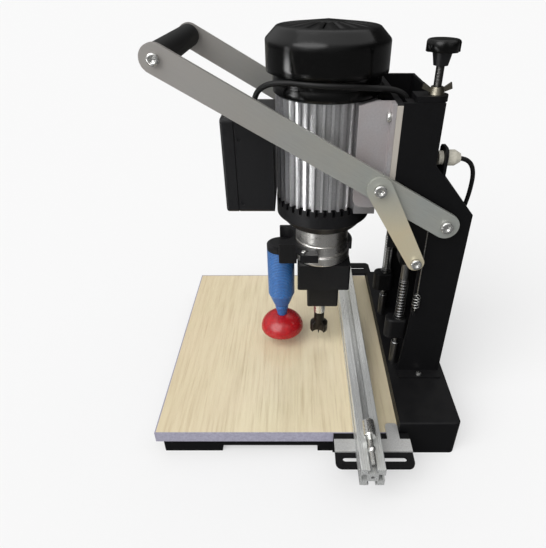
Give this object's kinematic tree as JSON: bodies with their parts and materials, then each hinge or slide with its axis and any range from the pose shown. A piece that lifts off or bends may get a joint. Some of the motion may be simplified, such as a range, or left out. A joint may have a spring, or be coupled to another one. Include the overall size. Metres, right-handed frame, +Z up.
{
  "type": "hinge boring machine",
  "caption": "Bench hinge boring machine: motor head on guide rods, two-armed feed lever, sprung hold-down foot, laminated table and T-slot fence",
  "frame": {"origin": "on the floor under the middle of the footprint, without the cord", "axes": "+X from the table to the column, +Y along the fence to the rear bracket, +Z up"},
  "size_m": [0.4341, 0.57, 0.486],
  "materials": {
    "board": "satin laminate",
    "band": "satin",
    "black_steel": "fine powder coat",
    "black_plastic": "semi gloss",
    "black_iron": "satin paint",
    "grip": "matt",
    "plate_steel": "brushed",
    "grey_metal": "satin grey",
    "motor_alloy": "die cast",
    "bright_steel": "turned",
    "head_steel": "turned",
    "cutter_steel": "dark",
    "spring_steel": "drawn wire",
    "rail_alloy": "anodised",
    "blue_plastic": "satin",
    "red_rubber": "smooth",
    "cream_plastic": "moulded",
    "cord_rubber": "matt"
  },
  "bodies": {
    "frame": {"base_pan": "black_steel", "base_box": "black_steel", "table_board": "board", "edge_bands": "band", "near_cheek": "black_steel", "far_cheek": "black_steel", "column_back": "black_steel", "guide_bridge": "black_steel", "foot_screws": "bright_steel", "guide_rods": "bright_steel", "rod_fittings": "bright_steel", "spring_seats": "black_steel", "return_springs": "spring_steel", "balance_springs": "spring_steel", "pivot_bolts": "bright_steel", "stop_plate": "black_steel", "fence_brackets": "black_steel", "fence_plates": "grey_metal", "cord_gland": "cream_plastic", "mains_cord": "cord_rubber", "cord_coil": "cord_rubber", "plug": "cord_rubber"},
    "head": {"carriage_plate": "black_steel", "slide_blocks": "black_steel", "slide_bushes": "bright_steel", "link_pins": "bright_steel", "motor_cradle": "grey_metal", "head_screws": "bright_steel", "upper_bell": "black_iron", "fan_cover": "black_plastic", "motor_body": "motor_alloy", "lower_bell": "black_iron", "shaft_bearings": "bright_steel", "head_flange": "head_steel", "head_block": "black_iron", "hold_bracket": "black_iron", "hold_sleeve": "blue_plastic", "sleeve_cap": "black_plastic", "plunger_spring": "spring_steel", "switch_box": "black_plastic", "box_lid": "black_plastic", "depth_rod": "bright_steel", "motor_cable": "cord_rubber"},
    "spindle": {"rotor_shaft": "bright_steel", "hinge_cutter": "cutter_steel"},
    "hold_plunger": {"plunger": "blue_plastic", "hold_foot": "red_rubber"},
    "lever": {"near_lever_arm": "plate_steel", "far_lever_arm": "plate_steel", "lever_grip": "grip", "lever_bolts": "bright_steel"},
    "links": {"side_links": "plate_steel"},
    "depth_sleeve": {"stop_sleeve": "black_plastic"},
    "knob": {"depth_knob": "black_plastic"},
    "lock_nut": {"wing_nut": "bright_steel"},
    "fence": {"fence_rail": "rail_alloy", "fence_bolts": "bright_steel"},
    "stop_block": {"fence_stop": "bright_steel"},
    "rocker": {"rocker_key": "black_plastic"}
  },
  "joints": [
    {"name": "head_feed", "type": "slide", "parent": "frame", "child": "head", "axis": [0, 0, -1], "range_m": [0, 0.019], "stiffness_N_per_m": 2500, "springref_m": -0.09, "deforming": ["return_springs"]},
    {"name": "lever_swing", "type": "hinge", "parent": "frame", "child": "lever", "pos_m": [0.15325, 0, 0.289], "axis": [0, -1, 0], "range_deg": [0, 17.6], "deforming": ["balance_springs"]},
    {"name": "link_swing", "type": "hinge", "parent": "lever", "child": "links", "pos_m": [0.07475, 0, 0.3343], "axis": [0, -1, 0], "range_deg": [-10.6, 0]},
    {"name": "spindle_spin", "type": "hinge", "parent": "head", "child": "spindle", "pos_m": [0.02025, 0, 0.25], "axis": [0, 0, 1], "continuous": true},
    {"name": "foot_press", "type": "slide", "parent": "head", "child": "hold_plunger", "axis": [0, 0, 1], "range_m": [0, 0.014], "stiffness_N_per_m": 800, "springref_m": -0.01, "deforming": ["plunger_spring"]},
    {"name": "depth_set", "type": "slide", "parent": "head", "child": "depth_sleeve", "axis": [0, 0, 1], "range_m": [0, 0.008]},
    {"name": "knob_turn", "type": "hinge", "parent": "depth_sleeve", "child": "knob", "pos_m": [0.12575, -0.063, 0.47], "axis": [0, 0, 1], "range_deg": [0, 2304]},
    {"name": "lock_turn", "type": "hinge", "parent": "frame", "child": "lock_nut", "pos_m": [0.12575, -0.063, 0.43], "axis": [0, 0, 1], "range_deg": [0, 90]},
    {"name": "fence_set", "type": "slide", "parent": "frame", "child": "fence", "axis": [1, 0, 0], "range_m": [-0.019, 0.028]},
    {"name": "stop_set", "type": "slide", "parent": "fence", "child": "stop_block", "axis": [0, 1, 0], "range_m": [0, 0.3]},
    {"name": "switch_rock", "type": "hinge", "parent": "head", "child": "rocker", "pos_m": [-0.09425, 0, 0.345], "axis": [0, 1, 0], "range_deg": [0, 10]}
  ],
  "couplings": [
    {"joint": "lever_swing", "follows": "head_feed", "rad_per_m": 16.149},
    {"joint": "link_swing", "follows": "head_feed", "rad_per_m": -9.6764},
    {"joint": "knob_turn", "follows": "depth_set", "rad_per_m": 5026.5}
  ]
}
